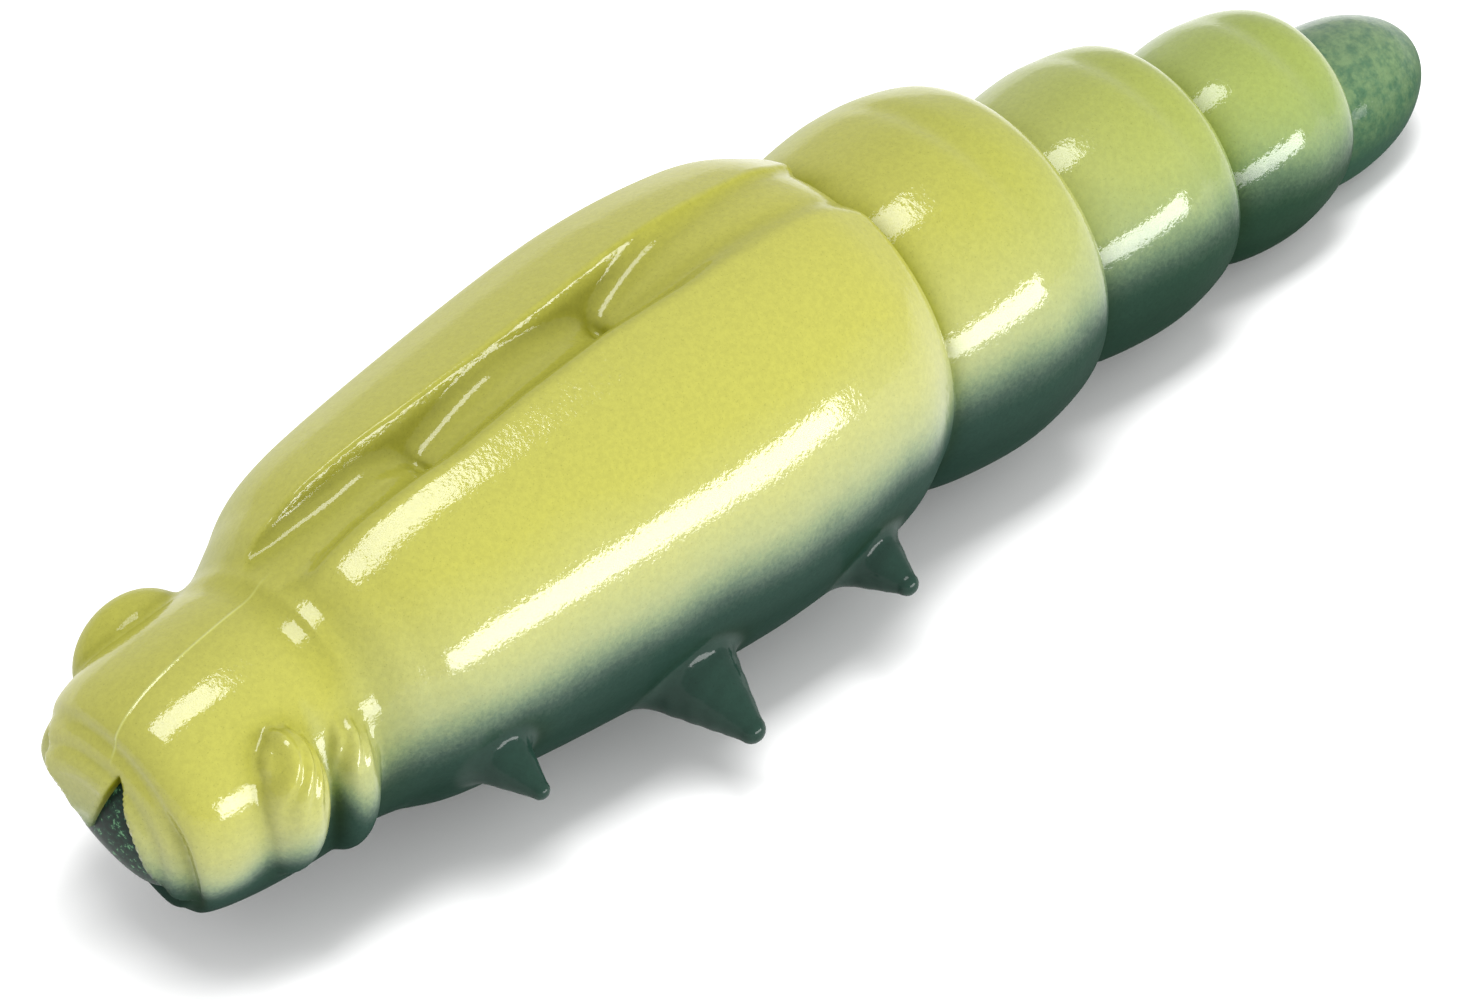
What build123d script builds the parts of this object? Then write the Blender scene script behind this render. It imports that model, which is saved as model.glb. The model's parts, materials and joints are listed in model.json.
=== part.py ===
from build123d import *

import os
from collections import namedtuple
from math import cos, radians, sin, tan

# Soft plastic larva bait, 45 mm long, lying on its belly.
#
# Frame, in millimetres: +X runs from the nose to the tail, +Z is up, and the origin is on the
# surface that the bait rests on, under the middle of its bounding box.
#
# The bait is one flexible moulding in two colours, a lime back over a dark green belly. It bends at
# the grooves between its sections, so it is divided there: each section is a rigid barrel, and the
# web of plastic in each groove is a ball that the two sections beside it turn on. Each section is
# divided again where the colour changes. Six spikes stand out of the thorax as legs.

# Driving dimensions. A station is a distance behind the nose.
LENGTH = 45.0
SOCKET_CLEARANCE = 0.12  # between a ball and the socket that it turns in
FLEX_ANGLE = 11.5  # degrees that each end of a section leans back from a groove's middle
LARGEST_RADIUS = 12.0  # further out than any surface of the bait
FAR = 60.0  # a side of the blocks that trim the sections

# Each section is a barrel: (station, radius) along its outline, the height of its axis over the
# surface, and the height at which the dark belly gives way to the lime back.
Section = namedtuple("Section", "outline axis_height colour_height")
NECK, WAIST_1, WAIST_2, WAIST_3, TAIL_GROOVE = 6.5, 24.3, 30.2, 35.9, 40.8
HEAD = Section([(0.0, 1.9), (1.1, 2.95), (3.7, 3.9), (NECK, 3.15)], 4.5, 4.3)
THORAX = Section(
    [(NECK, 3.25), (8.9, 4.55), (13.4, 5.1), (18.9, 5.48), (WAIST_1, 4.35)], 5.24, 5.7
)
SEGMENTS = [
    Section([(WAIST_1, 4.0), (27.6, 4.65), (WAIST_2, 4.25)], 4.5, 5.7),
    Section([(WAIST_2, 2.9), (33.3, 3.6), (WAIST_3, 3.4)], 3.52, 4.15),
    Section([(WAIST_3, 2.2), (38.2, 2.93), (TAIL_GROOVE, 2.3)], 2.7, 3.4),
]
TAIL_RADIUS, TAIL_AXIS_HEIGHT = 1.93, 1.7
TAIL_SHOULDER = 0.27  # the share of the tail's length that is straight, before its dome

# The web in each groove, from the neck to the tail: station, height and radius of its ball.
Web = namedtuple("Web", "name station height radius")
WEBS = [
    Web("neck_web", NECK, 4.9, 1.8),
    Web("waist_web_1", WAIST_1, 4.85, 2.5),
    Web("waist_web_2", WAIST_2, 3.9, 1.9),
    Web("waist_web_3", WAIST_3, 3.0, 1.4),
    Web("tail_web", TAIL_GROOVE, 2.0, 0.95),
]

# Under the wing cases the thorax is three beads, each from a crease over a crest to a crease.
THORAX_BEADS = [
    [(NECK, 2.7), (8.6, 3.95), (10.8, 3.9)],
    [(10.8, 3.9), (13.8, 4.5), (16.8, 4.3)],
    [(16.8, 4.3), (20.4, 4.75), (WAIST_1, 3.7)],
]
# The gap between the wing cases is an open-ended lens that runs past both ends of the thorax.
GAP_START, GAP_END = 5.2, 25.0
GAP_HALF_WIDTH = 1.0

# The legs of one side: station, distance of the root from the thorax axis, degrees that the root
# lies below the axis, radius at the root and at the tip, length, and degrees of droop.
Leg = namedtuple("Leg", "name station reach below root_radius tip_radius length droop")
LEGS = [
    Leg("front", 9.1, 4.35, 21.0, 0.8, 0.22, 1.75, 13.0),
    Leg("middle", 15.3, 4.9, 32.0, 1.25, 0.3, 2.75, 15.0),
    Leg("rear", 21.1, 5.05, 28.5, 0.92, 0.28, 1.85, 7.0),
]

# Eyes: bulges on the sides of the head.
EYE_STATION, EYE_SIDE, EYE_HEIGHT, EYE_RADIUS = 4.4, 3.05, 4.75, 1.6

# The mouth: a notch in the nose, wider below, where the dark core shows between the lips.
MOUTH_DEPTH, MOUTH_TOP = 1.3, 6.0
MOUTH_HALF_WIDTH_TOP, MOUTH_HALF_WIDTH_BOTTOM = 0.25, 1.5
CORE_SETBACK = 0.6  # how far the dark core stands back from the tip of the nose

SIDES = {"left": -1, "right": 1}  # left is -Y: the side on the left hand seen from the tail


def at_station(station):
    """The x of a station."""
    return station - LENGTH / 2


def turned(face, height):
    """A solid of revolution about a line along X at this height."""
    return revolve(Plane.XZ * Pos(0, height, 0) * face, Axis((0, 0, height), (1, 0, 0)), 360)


def barrel(points, height):
    """A barrel through (station, radius) points, with flat ends."""
    rim = [(at_station(s), r) for s, r in points]
    first, last = (rim[0][0], 0), (rim[-1][0], 0)
    side = ThreePointArc(*rim) if len(rim) == 3 else Spline(*rim)
    outline = Line(first, rim[0]) + side + Line(rim[-1], last) + Line(last, first)
    return turned(make_face(outline), height)


def ball(station, side, height, radius):
    return Pos(at_station(station), side, height) * Sphere(radius)


def flex_space(web):
    """The socket of a web, with the V-shaped groove round it that lets the sections lean."""
    radius = web.radius + SOCKET_CLEARANCE
    lean = radians(FLEX_ANGLE)
    rim = (radius * sin(lean), radius * cos(lean))
    edge = (LARGEST_RADIUS * tan(lean), LARGEST_RADIUS)
    half_turn = radians(45 + FLEX_ANGLE / 2)
    shoulder = (radius * sin(half_turn), radius * cos(half_turn))
    outline = (
        ThreePointArc((-radius, 0), (-shoulder[0], shoulder[1]), (-rim[0], rim[1]))
        + Polyline((-rim[0], rim[1]), (-edge[0], edge[1]), edge, rim)
        + ThreePointArc(rim, shoulder, (radius, 0))
        + Line((radius, 0), (-radius, 0))
    )
    return turned(Pos(at_station(web.station), 0) * make_face(outline), web.height)


def block_above(height):
    return Pos(0, 0, height + FAR / 2) * Box(FAR, FAR, FAR)


def resting_on_surface(solid):
    """What is left of a section over the surface that the bait rests on."""
    return solid & block_above(0)


def back_of(solid, section):
    return solid & block_above(section.colour_height)


def belly_of(solid, section):
    return solid - block_above(section.colour_height)


def cleared_for(solid, webs):
    """A section with the sockets and grooves for the webs at its ends."""
    for web in webs:
        solid = solid - flex_space(web)
    return solid


def leg_root(leg, side):
    """The middle of the ball that a leg turns on."""
    below = radians(leg.below)
    across = SIDES[side] * leg.reach * cos(below)
    return at_station(leg.station), across, THORAX.axis_height - leg.reach * sin(below)


def leg_solid(leg, side):
    """A spike with a ball for a root."""
    end = leg.length - leg.tip_radius
    slant = leg.tip_radius * cos(radians(45))
    outline = (
        ThreePointArc(
            (0, -leg.root_radius),
            (leg.root_radius * cos(radians(45)), -leg.root_radius * sin(radians(45))),
            (leg.root_radius, 0),
        )
        + Line((leg.root_radius, 0), (leg.tip_radius, end))
        + ThreePointArc((leg.tip_radius, end), (slant, end + slant), (0, leg.length))
        + Line((0, leg.length), (0, -leg.root_radius))
    )
    spike = revolve(Plane.XZ * make_face(outline), Axis.Z, 360)
    droop = radians(leg.droop)
    outward = (0, SIDES[side] * cos(droop), -sin(droop))
    return Plane(origin=leg_root(leg, side), x_dir=(1, 0, 0), z_dir=outward) * spike


def mouth_notch():
    """The wedge between the lips, open to the front and below."""
    front = at_station(0)
    outline = make_face(
        Polyline(
            (-MOUTH_HALF_WIDTH_BOTTOM, -1),
            (MOUTH_HALF_WIDTH_BOTTOM, -1),
            (MOUTH_HALF_WIDTH_TOP, MOUTH_TOP),
            (-MOUTH_HALF_WIDTH_TOP, MOUTH_TOP),
            (-MOUTH_HALF_WIDTH_BOTTOM, -1),
        )
    )
    across = Plane(origin=(front - 1, 0, 0), x_dir=(0, 1, 0), z_dir=(1, 0, 0))
    return extrude(across * outline, MOUTH_DEPTH + 1)


def nose_block():
    """Everything ahead of the dark core that shows in the mouth."""
    return Pos(at_station(CORE_SETBACK) - FAR / 2, 0, 0) * Box(FAR, FAR, FAR)


def wing_gap():
    """The lens-shaped gap between the wing cases, cut through from above."""
    start, end = at_station(GAP_START), at_station(GAP_END)
    middle = (start + end) / 2
    outline = ThreePointArc((start, 0), (middle, GAP_HALF_WIDTH), (end, 0)) + ThreePointArc(
        (end, 0), (middle, -GAP_HALF_WIDTH), (start, 0)
    )
    return extrude(Pos(0, 0, THORAX.axis_height) * make_face(outline), FAR / 2)


def side_block(side):
    """Everything on one side of the middle plane."""
    return Pos(0, SIDES[side] * FAR / 2, 0) * Box(FAR, FAR, 2 * FAR)


def head_nodes():
    solid = resting_on_surface(barrel(HEAD.outline, HEAD.axis_height))
    solid = cleared_for(solid, WEBS[:1])
    nodes = {}
    for side, sign in SIDES.items():
        eye = ball(EYE_STATION, sign * EYE_SIDE, EYE_HEIGHT, EYE_RADIUS)
        solid = solid - eye
        nodes[f"{side}_eye"] = eye
    lips = solid - mouth_notch()
    nodes["mouth_core"] = (solid & mouth_notch()) - nose_block()
    nodes["head_back"] = back_of(lips, HEAD)
    nodes["head_belly"] = belly_of(lips, HEAD)
    return nodes


def thorax_nodes():
    outer = resting_on_surface(barrel(THORAX.outline, THORAX.axis_height))
    outer = cleared_for(outer, WEBS[:2])
    core = barrel(THORAX_BEADS[0], THORAX.axis_height)
    for bead in THORAX_BEADS[1:]:
        core = core + barrel(bead, THORAX.axis_height)
    belly = belly_of(outer, THORAX)
    for leg in LEGS:
        for side in SIDES:
            root = Pos(*leg_root(leg, side))
            belly = belly - root * Sphere(leg.root_radius + SOCKET_CLEARANCE)
    cases = back_of(outer, THORAX) - core - wing_gap()
    nodes = {
        "thorax_back": back_of(outer, THORAX) & core,
        "thorax_belly": belly,
    }
    for side in SIDES:
        nodes[f"{side}_wing_case"] = cases & side_block(side)
    return nodes


def leg_nodes():
    return {f"{side}_{leg.name}_leg": leg_solid(leg, side) for leg in LEGS for side in SIDES}


def segment_nodes():
    nodes = {}
    for number, segment in enumerate(SEGMENTS, start=1):
        solid = resting_on_surface(barrel(segment.outline, segment.axis_height))
        solid = cleared_for(solid, WEBS[number : number + 2])
        nodes[f"segment_{number}_back"] = back_of(solid, segment)
        nodes[f"segment_{number}_belly"] = belly_of(solid, segment)
    return nodes


def tail_node():
    """A short straight stretch, then a dome."""
    start, end = at_station(TAIL_GROOVE), at_station(LENGTH)
    shoulder = start + (end - start) * TAIL_SHOULDER
    outline = (
        Line((start, 0), (start, TAIL_RADIUS))
        + Line((start, TAIL_RADIUS), (shoulder, TAIL_RADIUS))
        + EllipticalCenterArc((shoulder, 0), end - shoulder, TAIL_RADIUS, 0, arc_size=90)
        + Line((end, 0), (start, 0))
    )
    solid = resting_on_surface(turned(make_face(outline), TAIL_AXIS_HEIGHT))
    return {"tail_tip": cleared_for(solid, WEBS[-1:])}


def web_nodes():
    return {web.name: ball(web.station, 0, web.height, web.radius) for web in WEBS}


def main():
    os.makedirs("parts", exist_ok=True)
    for nodes in (
        head_nodes(),
        thorax_nodes(),
        leg_nodes(),
        segment_nodes(),
        tail_node(),
        web_nodes(),
    ):
        for name, solid in nodes.items():
            export_step(solid, f"parts/{name}.step")


main()
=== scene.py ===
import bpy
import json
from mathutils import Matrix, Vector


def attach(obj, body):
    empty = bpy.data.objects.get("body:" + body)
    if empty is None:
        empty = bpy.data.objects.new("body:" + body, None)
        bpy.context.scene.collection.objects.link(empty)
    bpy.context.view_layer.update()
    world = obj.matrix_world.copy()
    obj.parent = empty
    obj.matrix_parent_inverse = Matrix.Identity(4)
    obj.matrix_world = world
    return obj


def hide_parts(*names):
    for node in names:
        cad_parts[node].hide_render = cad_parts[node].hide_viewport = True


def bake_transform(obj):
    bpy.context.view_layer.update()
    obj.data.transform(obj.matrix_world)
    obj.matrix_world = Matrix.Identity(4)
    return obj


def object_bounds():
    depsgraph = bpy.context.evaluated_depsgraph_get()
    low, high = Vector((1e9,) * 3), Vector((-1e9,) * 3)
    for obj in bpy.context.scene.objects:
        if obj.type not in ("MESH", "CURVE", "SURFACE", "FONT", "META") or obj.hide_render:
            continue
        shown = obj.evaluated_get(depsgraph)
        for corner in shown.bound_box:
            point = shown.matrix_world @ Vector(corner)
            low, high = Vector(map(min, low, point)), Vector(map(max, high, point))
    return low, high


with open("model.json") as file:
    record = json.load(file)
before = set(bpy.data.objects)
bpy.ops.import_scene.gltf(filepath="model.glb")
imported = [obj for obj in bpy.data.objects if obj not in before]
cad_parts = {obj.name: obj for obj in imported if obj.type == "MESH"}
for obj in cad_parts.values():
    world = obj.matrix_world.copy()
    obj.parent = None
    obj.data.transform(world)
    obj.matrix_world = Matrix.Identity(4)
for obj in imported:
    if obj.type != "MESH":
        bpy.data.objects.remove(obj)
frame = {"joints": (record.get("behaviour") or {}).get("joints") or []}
cad_box = [list(corner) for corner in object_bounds()]

# A soft plastic larva bait, 45 mm long: one lime and dark green moulding, lying on its belly.
#
# The visible surface is a signed distance field, sampled on a grid and meshed, and then divided
# where the bait bends. Lengths are in millimetres until a mesh is made. A station is a distance
# behind the nose, along +X.

import json
import math
from functools import partial

import bmesh
import bpy
import numpy as np
from mathutils import Matrix, Vector

MM = 0.001
NOSE_X = cad_box[0][0] / MM
LENGTH = cad_box[1][0] / MM - NOSE_X

GRID_STEP = 0.1
FAR = 3.0  # a distance that stands for any larger one
BLOCK = 8  # cells along a side of the blocks that are searched for the surface
SURFACE_MARGIN = 1.3  # a block is kept when its middle is this many half diagonals from the surface
FIT_PASSES, FIT_REACH, FIT_LEAST_SLOPE = 3, 0.02, 0.05  # moving the vertices onto the surface
NORMAL_REACH = 0.04  # how far apart distances are compared to find a normal
CAP_CORNERS = 12  # a face with more corners than this closes a cut


# ---------------------------------------------------------------- the frame's own measures


def joint_named(name):
    return next(j for j in frame["joints"] if j["name"] == name)


def pivot(name):
    """A joint's place: (station, across, height)."""
    x, y, z = joint_named(name)["pos_m"]
    return x / MM - NOSE_X, y / MM, z / MM


# The stations of the grooves where the bait bends.
NECK, WAIST_1, WAIST_2, WAIST_3, TAIL_GROOVE = (
    pivot(f"{body}_turn")[0] for body in ("head", "segment_1", "segment_2", "segment_3", "tail")
)


# ---------------------------------------------------------------- distance field tools


def union(a, b, blend):
    """The nearer of two distances, with a fillet about as wide as blend."""
    h = np.clip(0.5 + 0.5 * (b - a) / blend, 0, 1)
    return b + (a - b) * h - blend * h * (1 - h)


def overlap(a, b, blend):
    """What lies in both."""
    return -union(-a, -b, blend)


def carve(a, b, blend):
    """The first with the second taken away."""
    return -union(-a, b, blend)


def ease(x, low, high):
    """0 below low, 1 above high, smooth in between."""
    t = np.clip((x - low) / (high - low), 0, 1)
    return t * t * (3 - 2 * t)


def bump(x, middle, width):
    """1 at the middle, fading to 0 on both sides."""
    return np.exp(-(((x - middle) / width) ** 2))


def curve_through(points, count=20):
    """Points along a smooth curve through these ones."""
    p = np.array(points, float)
    p = np.vstack([2 * p[0] - p[1], p, 2 * p[-1] - p[-2]])
    t = np.linspace(0, 1, count, endpoint=False)[:, None]
    runs = []
    for a, b, c, d in zip(p, p[1:], p[2:], p[3:]):
        square, cube = 2 * a - 5 * b + 4 * c - d, 3 * b - a - 3 * c + d
        runs.append(0.5 * (2 * b + (c - a) * t + square * t**2 + cube * t**3))
    return np.vstack([*runs, p[-2]])


class Turned:
    """A body turned about a line along the bait: distances come from a table of its half section."""

    STEP = 0.08
    REACH = 9.0  # how far out the table goes
    PAD = 3.0  # how far it goes past both ends
    UNUSED = 1.0  # the part of the padding that is not looked up

    def __init__(self, outline, axis_height):
        self.height = axis_height
        rim = curve_through(outline)
        self.start = rim[0, 0] - self.PAD
        stations = np.arange(self.start, rim[-1, 0] + self.PAD, self.STEP)
        radii = np.arange(0, self.REACH, self.STEP)
        s, r = np.meshgrid(stations, radii, indexing="ij")
        nearest = np.full(s.shape, 1e9)
        edge = np.vstack([[rim[0, 0], 0], rim, [rim[-1, 0], 0]])
        for (s0, r0), (s1, r1) in zip(edge, edge[1:]):
            ds, dr = s1 - s0, r1 - r0
            t = np.clip(((s - s0) * ds + (r - r0) * dr) / max(ds * ds + dr * dr, 1e-12), 0, 1)
            nearest = np.minimum(nearest, np.hypot(s - s0 - t * ds, r - r0 - t * dr))
        inside = (s > rim[0, 0]) & (s < rim[-1, 0]) & (r < np.interp(s, rim[:, 0], rim[:, 1]))
        self.table = np.where(inside, -nearest, nearest)

    def distance(self, s, y, z):
        """Distances near the body. Points beyond the table's ends get a plain large one."""
        end = self.start + (len(self.table) - 1) * self.STEP
        near = (s > self.start + self.UNUSED) & (s < end - self.UNUSED)
        d = np.full(s.shape, FAR)
        d[near] = self.looked_up(s[near], y[near], z[near])
        return d

    def looked_up(self, s, y, z):
        r = np.hypot(y, z - self.height)
        i = np.clip((s - self.start) / self.STEP, 0, self.table.shape[0] - 1.001)
        j = np.clip(r / self.STEP, 0, self.table.shape[1] - 1.001)
        i0, j0 = i.astype(int), j.astype(int)
        u, v = i - i0, j - j0
        t = self.table
        near = t[i0, j0] * (1 - u) + t[i0 + 1, j0] * u
        far = t[i0, j0 + 1] * (1 - u) + t[i0 + 1, j0 + 1] * u
        return near * (1 - v) + far * v


def ellipsoid(s, y, z, centre, radii):
    tiny = 1e-9  # keeps the centre from dividing by zero
    p = [(value - middle) / radius for value, middle, radius in zip((s, y, z), centre, radii)]
    size = np.sqrt(p[0] ** 2 + p[1] ** 2 + p[2] ** 2) + tiny
    slope = np.sqrt((p[0] / radii[0]) ** 2 + (p[1] / radii[1]) ** 2 + (p[2] / radii[2]) ** 2) + tiny
    return size * (size - 1) / slope


def spike(s, y, z, root, direction, length, root_radius, tip_radius, folds):
    """A rounded cone with uneven folds of this height on it."""
    p = [s - root[0], y - root[1], z - root[2]]
    along = sum(a * b for a, b in zip(p, direction))
    t = np.clip(along / length, 0, 1)
    out = np.sqrt(sum((a - t * length * b) ** 2 for a, b in zip(p, direction)))
    radius = root_radius + (tip_radius - root_radius) * t
    wave = np.sin(along * LEG_FOLD_RATE + 1.6 * np.sin(p[0] * 2.6) + 1.2 * np.sin(p[2] * 3.1))
    away_from_ends = ease(t, 0.02, 0.2) * ease(-t, -0.95, -0.75)
    return out - radius - folds * wave * away_from_ends


# ---------------------------------------------------------------- the bait's shape

# Heights of the sections' axes. An outline is a list of (station, radius).
HEAD_HEIGHT, THORAX_HEIGHT = 4.5, 5.24
SEGMENT_HEIGHTS = (4.5, 3.52, 2.7)
TAIL_HEIGHT = 1.7

# How wide the fillets are where shapes meet.
NECK_BLEND, SEGMENT_BLEND, LEG_BLEND = 0.85, 0.12, 0.32
BASE_BLEND = 0.35  # round the flat that the bait rests on

head_body = Turned(
    [
        (0.22, 0.9), (0.32, 1.9), (0.62, 2.6), (1.15, 3.0), (2.0, 3.27), (3.5, 3.45), (5.2, 3.5),
        (NECK, 3.35), (NECK + 1.2, 3.1),
    ],
    HEAD_HEIGHT,
)
LIP_RADIUS, LIP_SIDE, LIP_HEIGHT = 2.25, 0.45, HEAD_HEIGHT - 0.6
CREASE_RADIUS, CREASE_WIDTH = 2.82, 0.2  # of the fold round the lips
CREASE_DEPTH, CREASE_EXTRA = 0.1, 0.12  # the fold is deeper low down
lip_ring = Turned(
    [(0.02, 0.6), (-0.08, 1.3), (0.0, 1.85), (0.2, 2.15), (0.5, LIP_RADIUS), (0.8, 2.1), (1.1, 1.2)],
    LIP_HEIGHT,
)
thorax_body = Turned(
    [
        (NECK - 0.35, 2.8), (NECK - 0.05, 3.4), (7.2, 3.92), (8.9, 4.58), (13.4, 5.12), (18.9, 5.48),
        (22.4, 5.12), (23.9, 4.6), (WAIST_1 + 0.25, 4.2), (WAIST_1 + 0.4, 3.3),
    ],
    THORAX_HEIGHT,
)
thorax_floor = Turned(
    [
        (NECK - 0.6, 2.9), (7.4, 3.4), (9.2, 3.9), (10.3, 3.85), (10.85, 3.6), (11.3, 3.9),
        (13.6, 4.55), (16.1, 4.45), (16.85, 4.05), (17.4, 4.5), (19.8, 5.12), (22.6, 5.02),
        (24.2, 4.3), (WAIST_1 + 0.3, 3.3),
    ],
    THORAX_HEIGHT,
)
segment_bodies = [
    Turned(
        [
            (WAIST_1 - 1.0, 3.4), (WAIST_1 + 0.1, 4.05), (25.6, 4.45), (27.7, 4.65), (29.4, 4.4),
            (WAIST_2 + 0.05, 3.95), (WAIST_2 + 0.3, 3.2),
        ],
        SEGMENT_HEIGHTS[0],
    ),
    Turned(
        [
            (WAIST_2 - 1.0, 2.5), (WAIST_2 + 0.2, 3.05), (31.8, 3.45), (33.6, 3.62), (35.0, 3.45),
            (WAIST_3 - 0.1, 3.1), (WAIST_3 + 0.3, 2.3),
        ],
        SEGMENT_HEIGHTS[1],
    ),
    Turned(
        [
            (WAIST_3 - 1.0, 1.9), (WAIST_3 + 0.2, 2.4), (37.2, 2.8), (38.6, 2.92), (39.9, 2.7),
            (TAIL_GROOVE - 0.1, 2.3), (TAIL_GROOVE + 0.25, 1.6),
        ],
        SEGMENT_HEIGHTS[2],
    ),
]
tail_body = Turned(
    [
        (TAIL_GROOVE - 1.0, 1.5), (TAIL_GROOVE, 1.88), (42.0, 1.95), (43.3, 1.72), (44.3, 1.2),
        (44.85, 0.6), (LENGTH, 0.05),
    ],
    TAIL_HEIGHT,
)

# How far the gap between the wing covers reaches to the left and to the right of the middle.
GAP_STATIONS = (NECK - 1.0, 7.2, 8.6, 11.0, 13.5, 16.0, 18.5, 21.0, 23.5, 25.5)
GAP_LEFT = (0.45, 0.5, 0.75, 0.95, 0.85, 0.85, 1.0, 1.0, 1.05, 1.2)
GAP_RIGHT = (1.5, 1.4, 1.15, 0.98, 0.9, 0.92, 1.05, 1.05, 1.1, 1.3)
GAP_WALL_SLOPE = 0.45
GAP_BOTTOM = THORAX_HEIGHT + 1.0
GAP_EDGE_LEFT, GAP_EDGE_RIGHT = 0.4, 0.1  # how round the wing covers' inner edges are
FLOOR_BLEND = 0.45  # between the beads and the covers
THORAX_LEAN = 0.12  # how far to the left the thorax's front end leans

# The fold across each segment's back: its station, and how far to the sides it reaches.
SEGMENT_FOLDS = ((28.2, 2.6), (34.6, 2.2), (39.4, 1.7))
SEGMENT_FOLD_DEPTH, SEGMENT_FOLD_WIDTH = 0.13, 0.42
SEGMENT_SPAN = 9.0  # no segment is longer than this

SIDES = {"left": -1, "right": 1}
LEG_FOLD_RATE = 13.0  # radians a millimetre
LEGS = {
    "front": dict(length=1.8, root_radius=0.92, tip_radius=0.25, droop=13.0, folds=0.004),
    "middle": dict(length=2.8, root_radius=1.42, tip_radius=0.36, droop=17.0, folds=0.009),
    "rear": dict(length=1.9, root_radius=1.05, tip_radius=0.3, droop=7.0, folds=0.006),
}


def leg_axis(name, side):
    """Where a leg starts, and the way it points."""
    droop = math.radians(LEGS[name]["droop"])
    direction = (0.0, SIDES[side] * math.cos(droop), -math.sin(droop))
    return pivot(f"{side}_{name}_leg_sweep"), direction


def leg_distance(s, y, z, name, side):
    leg = LEGS[name]
    root, direction = leg_axis(name, side)
    length = leg["length"] - leg["tip_radius"]
    return spike(s, y, z, root, direction, length, leg["root_radius"], leg["tip_radius"], leg["folds"])


def mouth_distance(s, y, z):
    """The opening between the lips: an upside-down V, open in front and below."""
    apex_y, apex_z, left_slope, right_slope, edge = -0.4, 6.1, 0.5, 0.4, 0.1
    drop = apex_z - z
    near_edge = (apex_y - left_slope * drop) - y
    far_edge = y - (apex_y + right_slope * drop)
    below_far_lip = z - 4.2 - 0.8 * (y - 0.5)
    sides = overlap(near_edge, np.minimum(far_edge, below_far_lip), edge)
    back_wall = s - 0.7 - 0.1 * drop
    return overlap(sides, back_wall, edge)


def chin_distance(s, y, z, height):
    """Above the sloping underside of the head, which starts at this height behind the lips."""
    return (height + 0.42 * y - 1.1 * (s - 0.2) - z) / 1.5


def eye_distance(s, y, z, sign):
    """The left eye has two lobes with a deep fold between them. The right one is plain and sits higher."""
    if sign > 0:
        return ellipsoid(s, y, z, (4.1, 2.85, 5.6), (1.75, 1.2, 1.6))
    front = ellipsoid(s, -y, z, (3.25, 2.85, 5.0), (1.02, 1.25, 2.05))
    back = ellipsoid(s, -y, z, (5.05, 2.85, 4.5), (0.88, 1.2, 1.95))
    wave = np.sin(13.0 * (s - 0.35 * z) + 2.0 * np.sin(2.5 * z))
    ripple = 0.035 * wave * ease(z, 4.6, 6.0)
    return union(front, back, 0.06) - ripple


def head_distance(s, y, z):
    d = head_body.distance(s, y, z)
    chin = chin_distance(s, y, z, 3.55)
    d = overlap(d, chin, 0.5)
    d = union(d, overlap(lip_ring.distance(s, y - LIP_SIDE, z), chin, 0.3), 0.08)
    from_lips = np.hypot(y - LIP_SIDE, z - LIP_HEIGHT)
    depth = CREASE_DEPTH + CREASE_EXTRA * ease(5.9 - z, 0, 1.0)
    d = d + depth * bump(from_lips, CREASE_RADIUS, CREASE_WIDTH) * ease(1.7 - s, 0, 0.7)
    d = carve(d, mouth_distance(s, y, z), 0.14)
    for sign in SIDES.values():
        d = union(d, eye_distance(s, y, z, sign), 0.16)
    return d


def thorax_distance(s, y, z):
    """A bullet with a gap between two wing covers, over a floor of three beads."""
    y = y + THORAX_LEAN * ease(-s, -10.0, -NECK)
    d = thorax_body.distance(s, y, z)
    left, right = np.interp(s, GAP_STATIONS, GAP_LEFT), np.interp(s, GAP_STATIONS, GAP_RIGHT)
    half_width = np.where(y > 0, right, left)
    narrowing = GAP_WALL_SLOPE * np.clip(-d, 0, 1.5)
    gap = overlap(np.abs(y) - half_width + narrowing, GAP_BOTTOM - z, 0.3)
    d = carve(d, gap, np.where(y > 0, GAP_EDGE_RIGHT, GAP_EDGE_LEFT))
    return union(d, thorax_floor.distance(s, y, z), FLOOR_BLEND)


def segment_distance(number, s, y, z):
    """A barrel with a soft fold across its back, a little to the left and askew."""
    body = segment_bodies[number]
    station, reach = SEGMENT_FOLDS[number]
    top = bump(y, -0.7, reach) * ease(z, body.height, body.height + 1.5)
    fold = bump(s + 0.08 * y, station, SEGMENT_FOLD_WIDTH)
    return body.distance(s, y, z) + SEGMENT_FOLD_DEPTH * top * fold


def within(distance, low, high, s, y, z):
    """A distance worked out only between two stations."""
    d = np.full(s.shape, FAR)
    near = (s > low) & (s < high)
    d[near] = distance(s[near], y[near], z[near])
    return d


def leg_pair_distance(name, s, y, z):
    return np.minimum(*(leg_distance(s, y, z, name, side) for side in SIDES))


def legs_distance(s, y, z):
    reach = 2.5  # stations either side of a leg where it counts
    d = np.full(s.shape, FAR)
    for name in LEGS:
        station = leg_axis(name, "left")[0][0]
        pair = within(partial(leg_pair_distance, name), station - reach, station + reach, s, y, z)
        d = np.minimum(d, pair)
    return d


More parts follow.
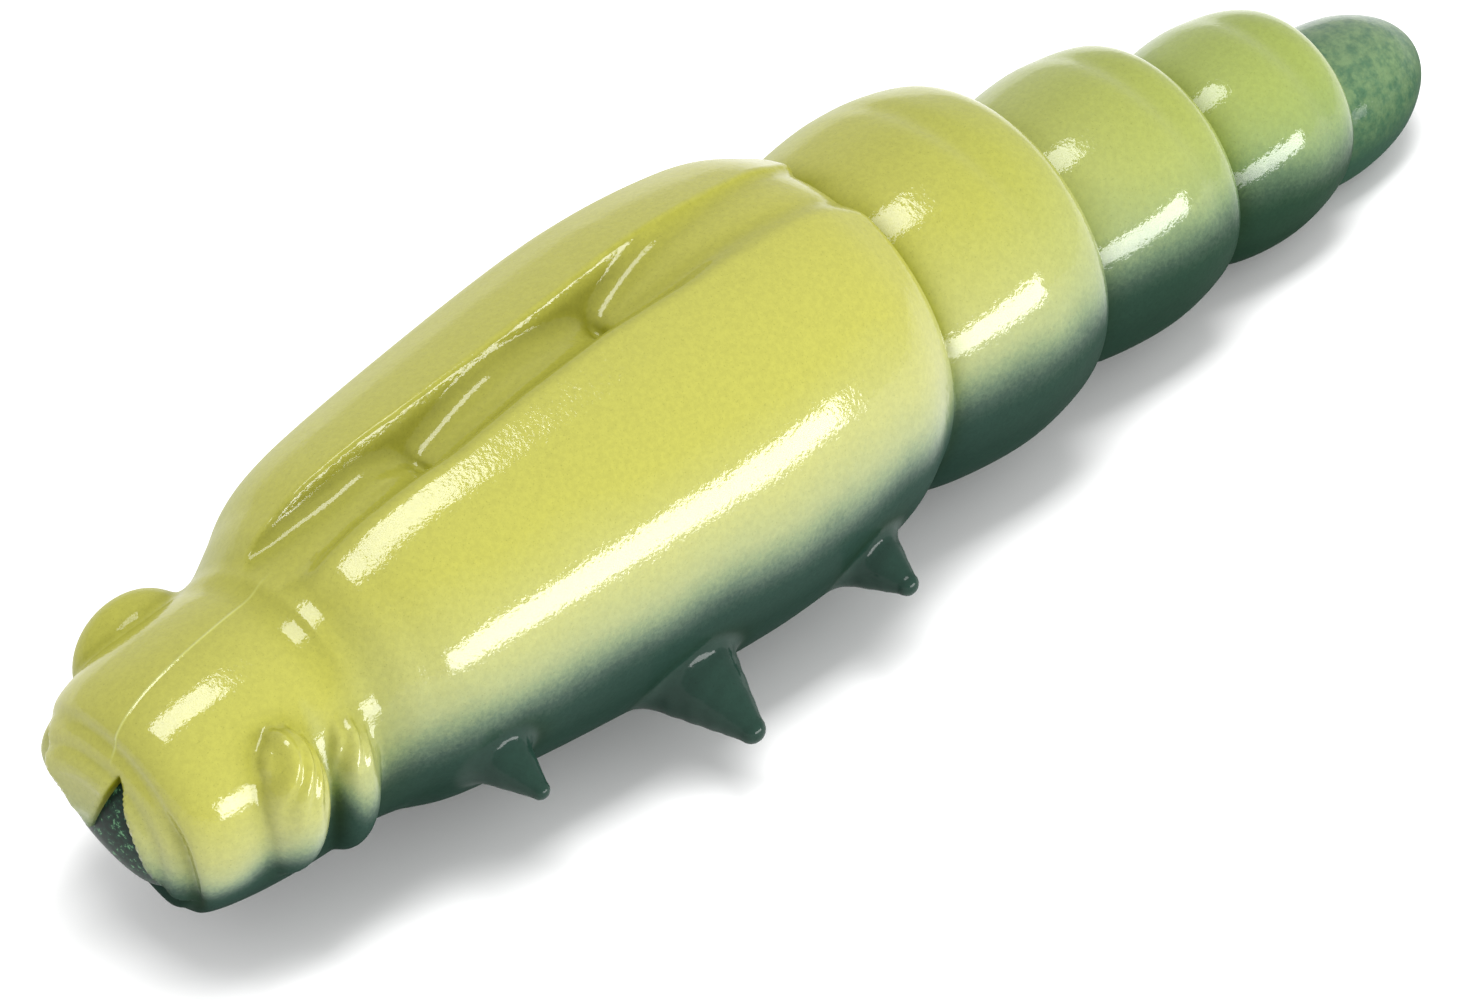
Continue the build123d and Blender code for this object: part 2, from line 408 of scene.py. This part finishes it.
def body_distance(s, y, z):
    """Everything but the legs and the mouth's lining."""
    before_nose = -2.0
    d = within(head_distance, before_nose, NECK + FAR, s, y, z)
    d = union(d, within(thorax_distance, NECK - FAR, WAIST_1 + FAR, s, y, z), NECK_BLEND)
    for number, start in enumerate((WAIST_1, WAIST_2, WAIST_3)):
        segment = partial(segment_distance, number)
        d = union(d, within(segment, start - FAR, start + SEGMENT_SPAN, s, y, z), SEGMENT_BLEND)
    d = union(d, within(tail_body.distance, TAIL_GROOVE - FAR, LENGTH + FAR, s, y, z), SEGMENT_BLEND)
    return overlap(d, -z, BASE_BLEND)


def bait_distance(s, y, z):
    return union(body_distance(s, y, z), legs_distance(s, y, z), LEG_BLEND)


def lining_distance(s, y, z):
    """The dark plug that shows between the lips."""
    core = ellipsoid(s, y, z, (1.5, -0.1, 4.3), (1.3, 2.25, 2.0))
    return overlap(core, chin_distance(s, y, z, 3.5), 0.3)


# ---------------------------------------------------------------- meshing


def gradient(field, p, reach):
    """Which way, and how fast, a field grows at these points."""
    g = np.empty_like(p)
    for axis in range(3):
        step = np.zeros(3)
        step[axis] = reach
        g[:, axis] = field(*(p + step).T) - field(*(p - step).T)
    return g / (2 * reach)


def surface_mesh(field, low, high, step):
    """Vertices and quads on the zero of a distance field, by a surface net."""
    low = np.array(low, float)
    blocks = np.ceil((np.array(high) - low) / (step * BLOCK)).astype(int)
    size = blocks * BLOCK + 1
    middles = np.meshgrid(*[(np.arange(n) + 0.5) * BLOCK * step for n in blocks], indexing="ij")
    middles = np.stack(middles, -1).reshape(-1, 3) + low
    distances = field(*middles.T).reshape(blocks)
    near = np.abs(distances) < BLOCK * step * SURFACE_MARGIN * 0.5 * math.sqrt(3)
    wanted = np.zeros(size, bool)
    for corner in np.argwhere(near) * BLOCK:
        i, j, k = corner
        wanted[i : i + BLOCK + 1, j : j + BLOCK + 1, k : k + BLOCK + 1] = True
    values = np.pad(np.kron(distances, np.ones((BLOCK, BLOCK, BLOCK))), (0, 1), mode="edge")
    places = np.argwhere(wanted)
    values[wanted] = field(*(places * step + low).T)
    inside = values < 0

    corners = [(i, j, k) for i in (0, 1) for j in (0, 1) for k in (0, 1)]
    part = [slice(0, -1), slice(1, None)]
    held = sum(inside[part[i], part[j], part[k]].astype(np.int8) for i, j, k in corners)
    cells = np.argwhere((held > 0) & (held < 8))
    number = np.full(size, -1)
    number[tuple(cells.T)] = np.arange(len(cells))
    total, hits = np.zeros((len(cells), 3)), np.zeros((len(cells), 1))
    for a in corners:
        for axis in range(3):
            if a[axis]:
                continue
            b = tuple(v + (n == axis) for n, v in enumerate(a))
            fa, fb = values[tuple((cells + a).T)], values[tuple((cells + b).T)]
            crossed = (fa < 0) != (fb < 0)
            t = np.where(crossed, fa / np.where(crossed, fa - fb, 1), 0)[:, None]
            total += crossed[:, None] * (np.array(a) + t * (np.array(b) - np.array(a)))
            hits += crossed[:, None]
    vertices = (cells + total / hits) * step + low

    quads = []
    for axis in range(3):
        u, v = [n for n in range(3) if n != axis]
        edges = np.argwhere(np.diff(inside, axis=axis))
        edges = edges[(edges[:, u] > 0) & (edges[:, v] > 0)]
        step_u, step_v = np.eye(3, dtype=int)[u], np.eye(3, dtype=int)[v]
        ring = [number[tuple((edges - d).T)] for d in (step_u + step_v, step_v, 0 * step_u, step_u)]
        ring = np.stack(ring, 1)
        outward = inside[tuple(edges.T)] ^ (axis == 1)
        quads.append(np.where(outward[:, None], ring, ring[:, ::-1]))
    quads = np.vstack(quads)
    for _ in range(FIT_PASSES):
        g = gradient(field, vertices, FIT_REACH)
        slope = np.maximum((g * g).sum(1), FIT_LEAST_SLOPE)
        vertices = vertices - (field(*vertices.T) / slope)[:, None] * g
    return vertices, quads


def to_blender(points):
    """Station, across, height in millimetres to the frame's metres."""
    return (points + np.array([NOSE_X, 0, 0])) * MM


def from_blender(points):
    """The frame's metres to station, across and height in millimetres."""
    return points / MM - np.array([NOSE_X, 0, 0])


def new_mesh(name, vertices, faces):
    mesh = bpy.data.meshes.new(name)
    mesh.from_pydata(to_blender(vertices).tolist(), [], faces.tolist())
    return mesh


def positions(mesh):
    co = np.empty(len(mesh.vertices) * 3)
    mesh.vertices.foreach_get("co", co)
    return co.reshape(-1, 3)


def cut(bm, plane, keep_above, chosen=None, alone=False):
    """Cuts a bmesh at a plane, keeps one side, and closes the cut.

    With chosen, only the faces that it picks are cut or dropped. With alone, all others go too.
    """
    faces = [f for f in bm.faces if chosen is None or chosen(f)]
    if alone:
        kept = set(faces)
        bmesh.ops.delete(bm, geom=[f for f in bm.faces if f not in kept], context="FACES")
    # Dictionaries keep their order, so each run cuts in the same order and gives the same mesh.
    edges = dict.fromkeys(e for f in faces for e in f.edges)
    verts = dict.fromkeys(v for f in faces for v in f.verts)
    point, normal = plane
    made = bmesh.ops.bisect_plane(
        bm, geom=[*verts, *edges, *faces], dist=1e-8, plane_co=point, plane_no=normal,
        clear_inner=keep_above, clear_outer=not keep_above,
    )
    rim = [e for e in made["geom_cut"] if isinstance(e, bmesh.types.BMEdge)]
    bmesh.ops.holes_fill(bm, edges=rim, sides=0)


def station_plane(station):
    return Vector(((station + NOSE_X) * MM, 0, 0)), Vector((1, 0, 0))


def finish_piece(mesh, field, name):
    """Gives a piece the field's own normals, its rest positions and smooth shading."""
    points = from_blender(positions(mesh))
    g = gradient(field, points, NORMAL_REACH)
    normals = g / np.linalg.norm(g, axis=1)[:, None]
    mesh.polygons.foreach_set("use_smooth", [True] * len(mesh.polygons))
    loop_vertex = np.empty(len(mesh.loops), int)
    mesh.loops.foreach_get("vertex_index", loop_vertex)
    corner_normals = normals[loop_vertex]
    for polygon in mesh.polygons:
        if len(polygon.vertices) > CAP_CORNERS:
            first = polygon.loop_start
            corner_normals[first : first + polygon.loop_total] = polygon.normal
    mesh.normals_split_custom_set(corner_normals.tolist())
    set_attribute(mesh, "rest", points, "FLOAT_VECTOR", "vector")
    add_masks(mesh, points, normals, field)
    piece = bpy.data.objects.new(name, mesh)
    bpy.context.scene.collection.objects.link(piece)
    return piece


def set_attribute(mesh, name, values, kind="FLOAT", key="value"):
    attribute = mesh.attributes.new(name, kind, "POINT")
    attribute.data.foreach_set(key, np.asarray(values, np.float32).ravel())


# Where the lime back gives way to the dark belly: (station, height above the ground).
COLOUR_CHANGE = [
    (0.0, 4.1), (2.8, 4.1), (4.2, 3.9), (4.7, 4.4), (5.6, 4.5), (NECK, 4.8), (8.0, 5.2), (13.0, 5.3),
    (22.0, 5.3), (23.6, 4.95), (WAIST_1, 5.0), (29.0, 5.1), (WAIST_2, 5.1), (WAIST_2 + 0.2, 4.6),
    (32.3, 4.5), (35.0, 4.15), (WAIST_3, 4.0), (WAIST_3 + 0.2, 3.7), (37.5, 3.55), (40.0, 3.0),
    (TAIL_GROOVE, 2.9),
]
HOLLOW_REACHES = (0.3, 0.7, 1.4)  # how far out a hollow is felt for


def add_masks(mesh, points, normals, field):
    """What the materials need to know at each vertex."""
    s, y, z = points.T
    line = np.interp(s, *zip(*COLOUR_CHANGE))
    line = line - 0.25 * np.abs(y) * ease(3.0 - s, 0, 2.0)  # lower beside the lips
    line = line + 0.9 * bump(s, 4.35, 0.3) * ease(-y, 1.5, 2.5)  # higher between the left eye's lobes
    sharper = 1 + 0.6 * ease(s, NECK, 4.5)
    set_attribute(mesh, "above", (z - line) * sharper)
    # How hollow each place is. The colour uses it for painted shade, darker and yellower in creases and
    # grooves, and the gloss is duller there.
    hollow = np.zeros(len(points))
    for reach in HOLLOW_REACHES:
        out = points + normals * reach
        hollow += np.clip(1 - field(*out.T) / reach, 0, 1) / len(HOLLOW_REACHES)
    set_attribute(mesh, "hollow", hollow)
    set_attribute(mesh, "leg", 1 - ease(legs_distance(s, y, z), 0.05, 0.45))
    set_attribute(mesh, "aft", ease(s, 22.0, 42.0))
    set_attribute(mesh, "tail", ease(s, TAIL_GROOVE - 0.15, TAIL_GROOVE + 0.15))


# ---------------------------------------------------------------- materials


def ramp(nodes, links, factor, stops, mode="EASE"):
    node = nodes.new("ShaderNodeValToRGB")
    node.color_ramp.interpolation = mode
    elements = node.color_ramp.elements
    while len(elements) < len(stops):
        elements.new(0.5)
    for element, (place, colour) in zip(elements, stops):
        element.position = place
        element.color = (*colour, 1)
    links.new(factor, node.inputs["Fac"])
    return node.outputs["Color"]


def srgb(r, g, b):
    """A colour given as 0 to 255 screen values."""
    return tuple(((c / 255 + 0.055) / 1.055) ** 2.4 if c > 10 else c / 255 / 12.92 for c in (r, g, b))


def grey(value):
    return (value,) * 3


# Colours by height in millimetres above the line where lime gives way to dark green.
BELLY_TO_BACK = [
    (-2.0, srgb(28, 49, 41)),
    (-0.9, srgb(39, 60, 52)),
    (-0.4, srgb(54, 73, 63)),
    (0.0, srgb(80, 100, 78)),
    (0.4, srgb(114, 130, 91)),
    (0.9, srgb(144, 152, 100)),
    (1.8, srgb(160, 162, 93)),
    (3.6, srgb(162, 161, 68)),
]
LOWEST, HIGHEST = -2.0, 4.0  # the heights at the ends of the colour ramp
# The second colour here is painted shade, multiplied in where the skin is hollow: in creases and grooves.
AFT_TINT, HOLLOW_PAINTED_SHADE = srgb(218, 238, 205), srgb(200, 202, 105)
# The third colour here is a painted highlight, laid along the seam line on the head.
LEG_GREEN, TAIL_BELLY, SEAM_PAINTED_HIGHLIGHT = srgb(30, 54, 45), srgb(40, 66, 52), srgb(205, 212, 130)
TAIL_MOTTLE = [(0.32, srgb(66, 100, 72)), (0.68, srgb(100, 126, 86))]
LINING_SPECKLE = [(0.42, srgb(8, 26, 18)), (0.58, srgb(14, 44, 32)), (0.66, srgb(84, 128, 92))]
GRAIN = [(0.3, grey(0.75)), (0.7, grey(0.84))]
SPECKS = [(0.24, (0.82, 0.82, 0.78)), (0.36, grey(1))]
GLOSS = [(0.2, grey(0.04)), (0.45, grey(0.85))]  # the belly is duller than the back
HOLLOW_GLOSS, RIGHT_GLOSS, LEG_GLOSS = 0.05, 0.2, 0.3
WANDER, STIPPLE = 0.7, 0.5  # how far the two noises move the colour line, in millimetres
BUMP_HEIGHT = 0.00001
FLOOR_ALBEDO = 0.93


def math_node(nodes, links, operation, a, b=None, c=None, clamp=False):
    node = nodes.new("ShaderNodeMath")
    node.operation = operation
    node.use_clamp = clamp
    for socket, value in zip(node.inputs, (a, b, c)):
        if value is None:
            continue
        if isinstance(value, (int, float)):
            socket.default_value = value
        else:
            links.new(value, socket)
    return node.outputs[0]


def split(nodes, links, vector):
    """A vector's three sockets."""
    node = nodes.new("ShaderNodeSeparateXYZ")
    links.new(vector, node.inputs[0])
    return node.outputs


def attribute(nodes, name, kind="Fac"):
    node = nodes.new("ShaderNodeAttribute")
    node.attribute_name = name
    return node.outputs[kind]


def noise(nodes, links, vector, scale, detail=3.0, roughness=0.5):
    node = nodes.new("ShaderNodeTexNoise")
    node.inputs["Scale"].default_value = scale
    node.inputs["Detail"].default_value = detail
    node.inputs["Roughness"].default_value = roughness
    links.new(vector, node.inputs["Vector"])
    return node.outputs["Fac"]


def mix(nodes, links, factor, a, b, blend="MIX"):
    node = nodes.new("ShaderNodeMix")
    node.data_type = "RGBA"
    node.blend_type = blend
    for socket, value in ((node.inputs["Factor"], factor), (node.inputs["A"], a), (node.inputs["B"], b)):
        if isinstance(value, (int, float)):
            socket.default_value = value
        elif isinstance(value, tuple):
            socket.default_value = (*value, 1)
        else:
            links.new(value, socket)
    return node.outputs["Result"]


def seam_line(nodes, links, rest):
    """The fine raised line that the mould leaves along the top of the head, and where the painted
    highlight on it goes.
    """
    s, y, z = split(nodes, links, rest)
    half_width, fade, end = 0.05, 0.6, NECK - 0.2
    wandering = math_node(nodes, links, "MULTIPLY_ADD", s, -0.09, y)
    off = math_node(nodes, links, "ABSOLUTE", math_node(nodes, links, "ADD", wandering, 0.15))
    line = math_node(nodes, links, "MULTIPLY_ADD", off, -1 / half_width, 1.0, clamp=True)
    before_neck = math_node(nodes, links, "MULTIPLY_ADD", s, -fade, fade * end, clamp=True)
    on_top = math_node(nodes, links, "MULTIPLY_ADD", z, 2.0, -12.5, clamp=True)
    place = math_node(nodes, links, "MULTIPLY", before_neck, on_top)
    return math_node(nodes, links, "MULTIPLY", line, place)


def new_material(name):
    material = bpy.data.materials.new(name)
    material.use_nodes = True
    nodes, links = material.node_tree.nodes, material.node_tree.links
    return material, nodes, links, nodes["Principled BSDF"]


def skin_height(nodes, links, rest):
    """How far up the change from dark to lime a place is, 0 to 1, with an uneven, stippled edge."""
    wander = noise(nodes, links, rest, 0.35, 2)
    stipple = noise(nodes, links, rest, 9.0, 2, 0.7)
    above = math_node(nodes, links, "MULTIPLY_ADD", wander, WANDER, attribute(nodes, "above"))
    above = math_node(nodes, links, "MULTIPLY_ADD", stipple, STIPPLE, above)
    share = 1 / (HIGHEST - LOWEST)
    mean_noise = 0.5 * WANDER + 0.5 * STIPPLE
    start = (-LOWEST - mean_noise) * share
    return math_node(nodes, links, "MULTIPLY_ADD", above, share, start, clamp=True)


def skin_colour(nodes, links, rest, height, deep, seam):
    share = 1 / (HIGHEST - LOWEST)
    stops = [((place - LOWEST) * share, colour) for place, colour in BELLY_TO_BACK]
    plastic = ramp(nodes, links, height, stops, "LINEAR")
    plastic = mix(nodes, links, attribute(nodes, "aft"), plastic, AFT_TINT, "MULTIPLY")
    # Painted shade: darker, yellower colour in the creases and grooves.
    plastic = mix(nodes, links, deep, plastic, HOLLOW_PAINTED_SHADE, "MULTIPLY")
    plastic = mix(nodes, links, attribute(nodes, "leg"), plastic, LEG_GREEN)
    tail = ramp(nodes, links, noise(nodes, links, rest, 3.2, 5, 0.65), TAIL_MOTTLE)
    upper = math_node(nodes, links, "MULTIPLY_ADD", height, 3.5, -0.2, clamp=True)
    tail = mix(nodes, links, upper, TAIL_BELLY, tail)
    plastic = mix(nodes, links, attribute(nodes, "tail"), plastic, tail)
    grain = ramp(nodes, links, noise(nodes, links, rest, 7.0, 3, 0.7), GRAIN)
    plastic = mix(nodes, links, 1.0, plastic, grain, "MULTIPLY")
    specks = ramp(nodes, links, noise(nodes, links, rest, 22.0, 1), SPECKS)
    plastic = mix(nodes, links, 1.0, plastic, specks, "MULTIPLY")
    # Painted highlight: the colour is lightened along the seam line.
    return mix(nodes, links, math_node(nodes, links, "MULTIPLY", seam, 0.35), plastic, SEAM_PAINTED_HIGHLIGHT)


def skin_gloss(nodes, links, rest, height, deep):
    across = split(nodes, links, rest)[1]
    gloss = ramp(nodes, links, height, GLOSS)
    gloss = mix(nodes, links, deep, gloss, grey(HOLLOW_GLOSS))
    right_flank = math_node(nodes, links, "MULTIPLY_ADD", across, 0.4, -0.4, clamp=True)
    gloss = mix(nodes, links, right_flank, gloss, grey(RIGHT_GLOSS))
    return mix(nodes, links, attribute(nodes, "leg"), gloss, grey(LEG_GLOSS))


def skin_material():
    """Lime over dark green, with the soft, stippled change between them sprayed in. Painted shade darkens
    the hollows, and a painted highlight lightens the seam line on the head.
    """
    material, nodes, links, shader = new_material("two_colour_soft_plastic")
    rest = attribute(nodes, "rest", "Vector")
    height = skin_height(nodes, links, rest)
    deep = math_node(nodes, links, "MULTIPLY", attribute(nodes, "hollow"), 1.3, clamp=True)
    seam = seam_line(nodes, links, rest)
    links.new(skin_colour(nodes, links, rest, height, deep, seam), shader.inputs["Base Color"])
    gloss = skin_gloss(nodes, links, rest, height, deep)
    links.new(gloss, shader.inputs["Coat Weight"])
    links.new(math_node(nodes, links, "MULTIPLY", gloss, 0.06), shader.inputs["Specular IOR Level"])
    shader.inputs["Roughness"].default_value = 0.45
    shader.inputs["Coat Roughness"].default_value = 0.07
    fine, coarse = noise(nodes, links, rest, 9.0, 2), noise(nodes, links, rest, 1.3, 2)
    bumps = math_node(nodes, links, "MULTIPLY_ADD", fine, 0.5, coarse)
    bumps = math_node(nodes, links, "MULTIPLY_ADD", seam, 1.8, bumps)
    bump_node = nodes.new("ShaderNodeBump")
    bump_node.inputs["Strength"].default_value = 1.0
    bump_node.inputs["Distance"].default_value = BUMP_HEIGHT
    links.new(bumps, bump_node.inputs["Height"])
    links.new(bump_node.outputs["Normal"], shader.inputs["Normal"])
    links.new(bump_node.outputs["Normal"], shader.inputs["Coat Normal"])
    return material


def dark_material():
    material, nodes, links, shader = new_material("speckled_dark_plastic")
    grain = noise(nodes, links, attribute(nodes, "rest", "Vector"), 6.0, 4, 0.7)
    links.new(ramp(nodes, links, grain, LINING_SPECKLE), shader.inputs["Base Color"])
    shader.inputs["Roughness"].default_value = 0.4
    shader.inputs["Specular IOR Level"].default_value = 0.15
    return material


def floor_material():
    material, _, _, shader = new_material("pale_floor")
    shader.inputs["Base Color"].default_value = (*grey(FLOOR_ALBEDO), 1)
    shader.inputs["Roughness"].default_value = 0.9
    return material


# ---------------------------------------------------------------- pieces


# Each piece's two bodies, and the stations where it starts to leave the first and where it wholly
# follows the second. The bodies are named outward from the thorax, except for the two skins of
# segment 3: named outward, rounding in the pose would send their axis of bending far away when every
# joint is at its limit.
BLENDS = {
    "head_skin": ("neck", "head", NECK, 3.9),
    "thorax_front_skin": ("thorax", "neck", 8.3, NECK),
    "thorax_rear_skin": ("thorax", "waist_1", 22.2, WAIST_1),
    "segment_1_front_skin": ("waist_1", "segment_1", WAIST_1, 27.2),
    "segment_1_rear_skin": ("segment_1", "waist_2", 27.6, WAIST_2),
    "segment_2_front_skin": ("waist_2", "segment_2", WAIST_2, 33.0),
    "segment_2_rear_skin": ("segment_2", "waist_3", 33.3, WAIST_3),
    "segment_3_front_skin": ("segment_3", "waist_3", 38.2, WAIST_3),
    "segment_3_rear_skin": ("tail_waist", "segment_3", TAIL_GROOVE, 38.4),
    "tail_skin": ("tail_waist", "tail", TAIL_GROOVE, 42.6),
}
CUTS = (None, NECK, 18.2, WAIST_1, 27.4, WAIST_2, 33.1, WAIST_3, 38.3, TAIL_GROOVE, None)
SKIN_BOX = (-0.6, -7.6, -0.4), (LENGTH + 0.4, 7.6, 11.4)
LINING_BOX = (-0.2, -2.8, 1.6), (3.2, 3.0, 6.9)
LEG_PIECES = {"thorax_front_skin": ("front", "middle"), "thorax_rear_skin": ("rear",)}
LEG_CUTS = {"front": 0.75, "middle": 1.15, "rear": 0.8}  # how far from its root a leg is divided off
LEG_REACH = 2.3  # stations either side of a leg that belong to it
STANDS_FOR = {
    "head_skin": ("head_back", "head_belly", "left_eye", "right_eye", "neck_web"),
    "thorax_front_skin": ("thorax_back", "left_wing_case", "right_wing_case"),
    "thorax_rear_skin": ("thorax_belly",),
    "segment_1_front_skin": ("segment_1_back", "waist_web_1"),
    "segment_1_rear_skin": ("segment_1_belly",),
    "segment_2_front_skin": ("segment_2_back", "waist_web_2"),
    "segment_2_rear_skin": ("segment_2_belly",),
    "segment_3_front_skin": ("segment_3_back", "waist_web_3"),
    "segment_3_rear_skin": ("segment_3_belly",),
    "tail_skin": ("tail_tip", "tail_web"),
}


def divided_skin():
    """The whole skin as one mesh, then cut into pieces. Yields (name, mesh)."""
    whole = new_mesh("whole", *surface_mesh(bait_distance, *SKIN_BOX, GRID_STEP))
    for name, start, end in zip(BLENDS, CUTS, CUTS[1:]):
        bm = bmesh.new()
        bm.from_mesh(whole)
        if start is not None:
            cut(bm, station_plane(start), True)
        if end is not None:
            cut(bm, station_plane(end), False)
        mesh = bpy.data.meshes.new(name)
        bm.to_mesh(mesh)
        bm.free()
        yield name, mesh


def leg_plane(name, side):
    """Where a leg is divided off: a point and the leg's direction."""
    root, direction = leg_axis(name, side)
    point = np.array(root) + LEG_CUTS[name] * np.array(direction)
    return Vector(to_blender(point)), Vector(direction)


def beside_leg(face, name, side):
    station = face.calc_center_median().x / MM - NOSE_X
    return abs(station - leg_axis(name, side)[0][0]) < LEG_REACH


def leg_mesh(mesh, name, side):
    """The outer part of a leg, cut from the skin it stands on."""
    bm = bmesh.new()
    bm.from_mesh(mesh)
    cut(bm, leg_plane(name, side), True, lambda f: beside_leg(f, name, side), alone=True)
    leg = bpy.data.meshes.new(f"{side}_{name}_leg_skin")
    bm.to_mesh(leg)
    bm.free()
    return leg


def without_legs(mesh, names):
    bm = bmesh.new()
    bm.from_mesh(mesh)
    for name in names:
        for side in SIDES:
            cut(bm, leg_plane(name, side), False, lambda f: beside_leg(f, name, side))
    bm.to_mesh(mesh)
    bm.free()


def make_leg(mesh, name, side, material):
    leg_name = f"{side}_{name}_leg"
    piece = finish_piece(leg_mesh(mesh, name, side), bait_distance, f"{leg_name}_skin")
    piece.data.materials.append(material)
    start, direction = leg_plane(name, side)
    tuple(start)
    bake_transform(piece)
    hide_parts(leg_name)


def make_skin(material):
    for name, mesh in divided_skin():
        legs = LEG_PIECES.get(name, ())
        for leg in legs:
            for side in SIDES:
                make_leg(mesh, leg, side, material)
        if legs:
            without_legs(mesh, legs)
        piece = finish_piece(mesh, bait_distance, name)
        piece.data.materials.append(material)
        body_a, body_b, start, end = BLENDS[name]
        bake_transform(piece)
        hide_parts(*STANDS_FOR[name])


def make_lining(material):
    mesh = new_mesh("mouth_lining", *surface_mesh(lining_distance, *LINING_BOX, GRID_STEP))
    piece = finish_piece(mesh, lining_distance, "mouth_lining")
    piece.data.materials.append(material)
    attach(piece, "head")
    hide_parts("mouth_core")


# ---------------------------------------------------------------- the stage

CAMERA_AZIMUTH, CAMERA_ELEVATION = -45.84, 40.33
CAMERA_DISTANCE, CAMERA_LENS = 0.595, 612.0
CAMERA_AIM = (-0.00171, -0.00048, 0.00216)
WORLD_GLOW = 0.92
FLOOR_HALF = 1.5
BOX_DISTANCE = 0.42


def make_camera():
    a, e = math.radians(CAMERA_AZIMUTH), math.radians(CAMERA_ELEVATION)
    back = Vector((math.sin(a) * math.cos(e), -math.cos(a) * math.cos(e), math.sin(e)))
    data = bpy.data.cameras.new("camera")
    data.lens = CAMERA_LENS
    data.clip_start = 0.01
    camera = bpy.data.objects.new("camera", data)
    camera.location = Vector(CAMERA_AIM) + back * CAMERA_DISTANCE
    camera.rotation_mode = "QUATERNION"
    camera.rotation_quaternion = (-back).to_track_quat("-Z", "Y")
    bpy.context.scene.collection.objects.link(camera)
    bpy.context.scene.camera = camera


def softbox(name, direction, width, height, glow, up=(0, 0, 1)):
    """A rectangular light facing the origin. Its glow is how bright its face is beside white."""
    data = bpy.data.lights.new(name, "AREA")
    data.shape = "RECTANGLE"
    data.size, data.size_y = width, height
    data.energy = glow * math.pi * width * height
    light = bpy.data.objects.new(name, data)
    toward = Vector(direction).normalized()
    light.location = toward * BOX_DISTANCE
    side = Vector(up).cross(toward).normalized()
    rise = toward.cross(side)
    light.rotation_mode = "QUATERNION"
    light.rotation_quaternion = Matrix((side, rise, toward)).transposed().to_quaternion()
    light.visible_camera = False
    bpy.context.scene.collection.objects.link(light)


def make_stage():
    mesh = bpy.data.meshes.new("floor")
    signs = ((-1, -1), (1, -1), (1, 1), (-1, 1))
    mesh.from_pydata([(FLOOR_HALF * x, FLOOR_HALF * y, 0) for x, y in signs], [], [(0, 1, 2, 3)])
    mesh.materials.append(floor_material())
    floor = bpy.data.objects.new("floor", mesh)
    bpy.context.scene.collection.objects.link(floor)
    softbox("side_softbox", (0.21, -0.94, 0.11), 0.42, 0.1, 15.0)
    softbox("top_softbox", (-0.06, -0.02, 1.0), 0.34, 0.13, 11.0, up=(0, 1, 0))
    world = bpy.data.worlds.new("studio")
    world.use_nodes = True
    background = world.node_tree.nodes["Background"]
    background.inputs["Color"].default_value = (1, 1, 1, 1)
    background.inputs["Strength"].default_value = WORLD_GLOW
    bpy.context.scene.world = world
    bpy.context.scene.view_settings.view_transform = "Standard"


make_camera()
make_stage()
make_skin(skin_material())
make_lining(dark_material())
